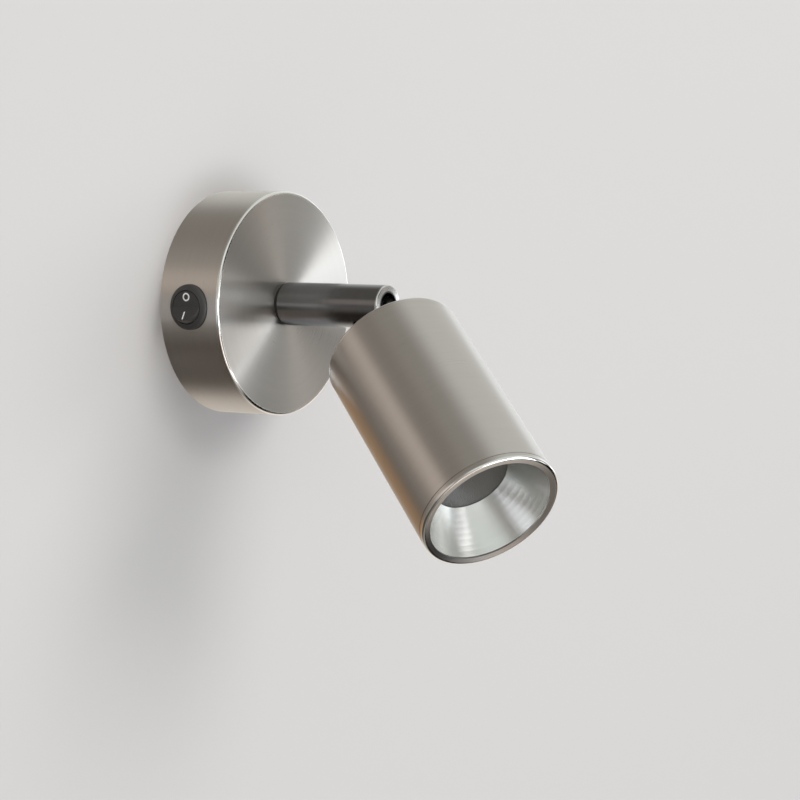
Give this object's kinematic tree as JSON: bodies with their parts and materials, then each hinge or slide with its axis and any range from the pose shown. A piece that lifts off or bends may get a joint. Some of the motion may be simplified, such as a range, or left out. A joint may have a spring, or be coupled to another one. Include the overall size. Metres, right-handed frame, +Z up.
{
  "type": "wall spotlight",
  "caption": "Round brushed canopy with a rocker switch, a dark swivelling tube arm and a tilting cylinder spot head with a recessed lamp.",
  "frame": {"origin": "on the wall, behind the middle of the canopy, halfway between the two wall screws", "axes": "+Y into the wall, -Y out of it towards the room, +Z up, +X to the right for someone facing the wall"},
  "size_m": [0.1236, 0.1869, 0.1524],
  "materials": {
    "brushed_nickel": "spun, brushed nickel",
    "brushed_head": "brushed nickel",
    "brushed_ring": "turned nickel",
    "dark_chrome": "polished black chrome",
    "stud_chrome": "polished",
    "zinc_steel": "zinc plated",
    "fastener_steel": "plated",
    "contact_brass": "plain",
    "black_plastic": "moulded, satin",
    "black_rocker": "moulded, satin",
    "pale_plastic": "moulded",
    "black_washer": "moulded",
    "ceramic": "glazed, unglazed underside",
    "satin_reflector": "satin, spun",
    "lamp_shell": "moulded",
    "frosted_face": "frosted",
    "brown_insulation": "extruded",
    "blue_insulation": "extruded",
    "green_insulation": "extruded, striped",
    "sleeve_insulation": "extruded"
  },
  "bodies": {
    "root": {"canopy": "brushed_nickel", "wall_bracket": "zinc_steel", "canopy_screws": "fastener_steel", "terminal_block": "pale_plastic", "terminal_clamps": "contact_brass", "terminal_screws": "fastener_steel", "block_screws": "fastener_steel", "earth_screw": "contact_brass", "earth_washer": "fastener_steel", "switch_housing": "black_plastic", "switch_terminals": "contact_brass", "live_leads": "brown_insulation", "neutral_lead": "blue_insulation", "earth_lead": "green_insulation", "arm_washer": "black_washer", "friction_washer": "pale_plastic", "stop_pin": "fastener_steel"},
    "rocker": {"switch_rocker": "black_rocker"},
    "arm": {"arm_tube": "dark_chrome", "arm_plug": "zinc_steel", "stop_washer": "zinc_steel", "arm_nut": "zinc_steel", "joint_spring": "fastener_steel", "ball_seat": "pale_plastic", "arm_leads": "sleeve_insulation"},
    "head": {"ball_stud": "stud_chrome", "stud_washer": "zinc_steel", "stud_nut": "zinc_steel", "head_housing": "brushed_head", "holder_bracket": "zinc_steel", "lamp_holder": "ceramic", "holder_screws": "fastener_steel", "lamp_body": "lamp_shell", "lamp_pins": "fastener_steel", "lamp_face": "frosted_face", "reflector": "satin_reflector", "front_ring": "brushed_ring", "head_leads": "sleeve_insulation"}
  },
  "joints": [
    {"name": "arm_swivel", "type": "hinge", "parent": "root", "child": "arm", "pos_m": [0, -0.0315, 0], "axis": [0, -1, 0], "range_deg": [-140, 200]},
    {"name": "head_tilt", "type": "hinge", "parent": "arm", "child": "head", "pos_m": [0, -0.0748, 0], "axis": [0.866, 0, -0.5], "range_deg": [-45, 45]},
    {"name": "switch_rock", "type": "hinge", "parent": "root", "child": "rocker", "pos_m": [-0.05046, -0.01575, 0], "axis": [0, -1, 0], "range_deg": [0, 28]}
  ]
}
